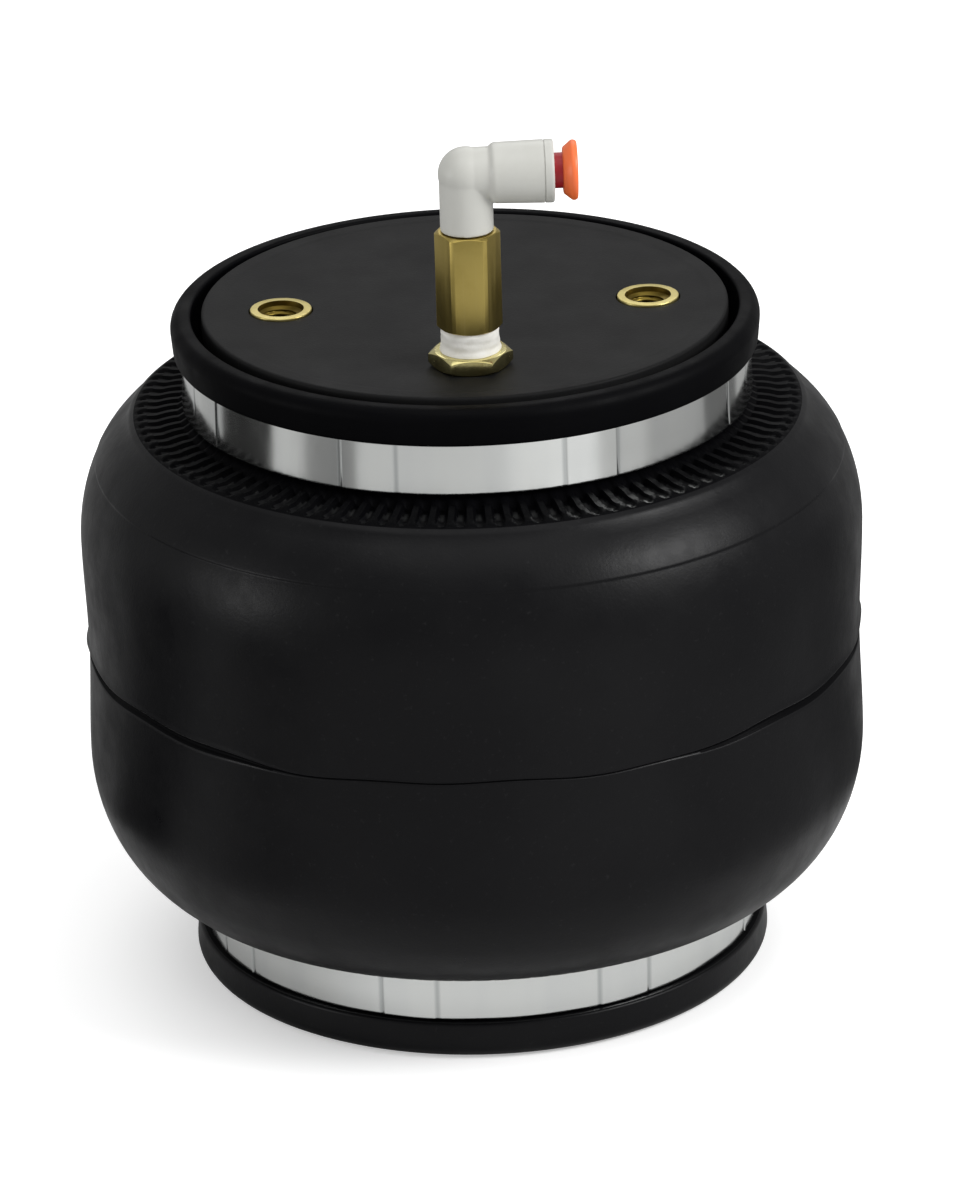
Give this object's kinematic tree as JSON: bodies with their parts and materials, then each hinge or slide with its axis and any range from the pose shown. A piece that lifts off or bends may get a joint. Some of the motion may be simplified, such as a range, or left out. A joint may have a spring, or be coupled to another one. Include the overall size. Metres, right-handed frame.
{
  "type": "air bellows actuator",
  "caption": "Single convolute air bellows actuator: black rubber sleeve clamped on moulded end plates, with threaded inserts and a swivelling push-in air elbow.",
  "frame": {"origin": "centre of the lower mounting face", "axes": "+Z along the stroke, from the lower face to the upper one; +X through both threaded inserts, the way the air outlet points; the air port is towards -Y"},
  "size_m": [0.1914, 0.1914, 0.2238],
  "materials": {
    "end_plate": "fine moulded texture, black glass-filled nylon",
    "clamp_band": "bright rolled, with pressed witness lines",
    "brass": "machined",
    "bump_stop": "moulded",
    "steel": "zinc plated",
    "bellows": "moulded, satin",
    "thread_seal": "dried white thread sealant",
    "seal_rubber": "moulded nitrile rubber",
    "elbow_resin": "satin moulded resin",
    "release_sleeve": "satin moulded resin"
  },
  "bodies": {
    "lower_end": {"lower_end_plate": "end_plate", "lower_clamp_band": "clamp_band", "lower_insert_left": "brass", "lower_insert_right": "brass", "bump_stop": "bump_stop", "bump_stop_washer": "steel", "bump_stop_screw": "steel", "bellows": "bellows"},
    "upper_end": {"upper_end_plate": "end_plate", "upper_clamp_band": "clamp_band", "upper_insert_left": "brass", "upper_insert_right": "brass", "port_bushing": "brass", "thread_seal": "thread_seal", "hex_extension": "brass", "swivel_o_ring": "seal_rubber"},
    "elbow": {"elbow_body": "elbow_resin", "tube_seal": "seal_rubber", "collet": "steel", "collar": "brass"},
    "release": {"release_sleeve": "release_sleeve"}
  },
  "joints": [
    {"name": "stroke", "type": "slide", "parent": "lower_end", "child": "upper_end", "axis": [0, 0, 1], "range_m": [-0.08, 0.055], "stiffness_N_per_m": 9000, "deforming": ["bellows"]},
    {"name": "elbow_swivel", "type": "hinge", "parent": "upper_end", "child": "elbow", "pos_m": [0, -0.041, 0.2164], "axis": [0, 0, 1], "continuous": true},
    {"name": "release_press", "type": "slide", "parent": "elbow", "child": "release", "axis": [-1, 0, 0], "range_m": [0, 0.0015], "stiffness_N_per_m": 1500}
  ]
}
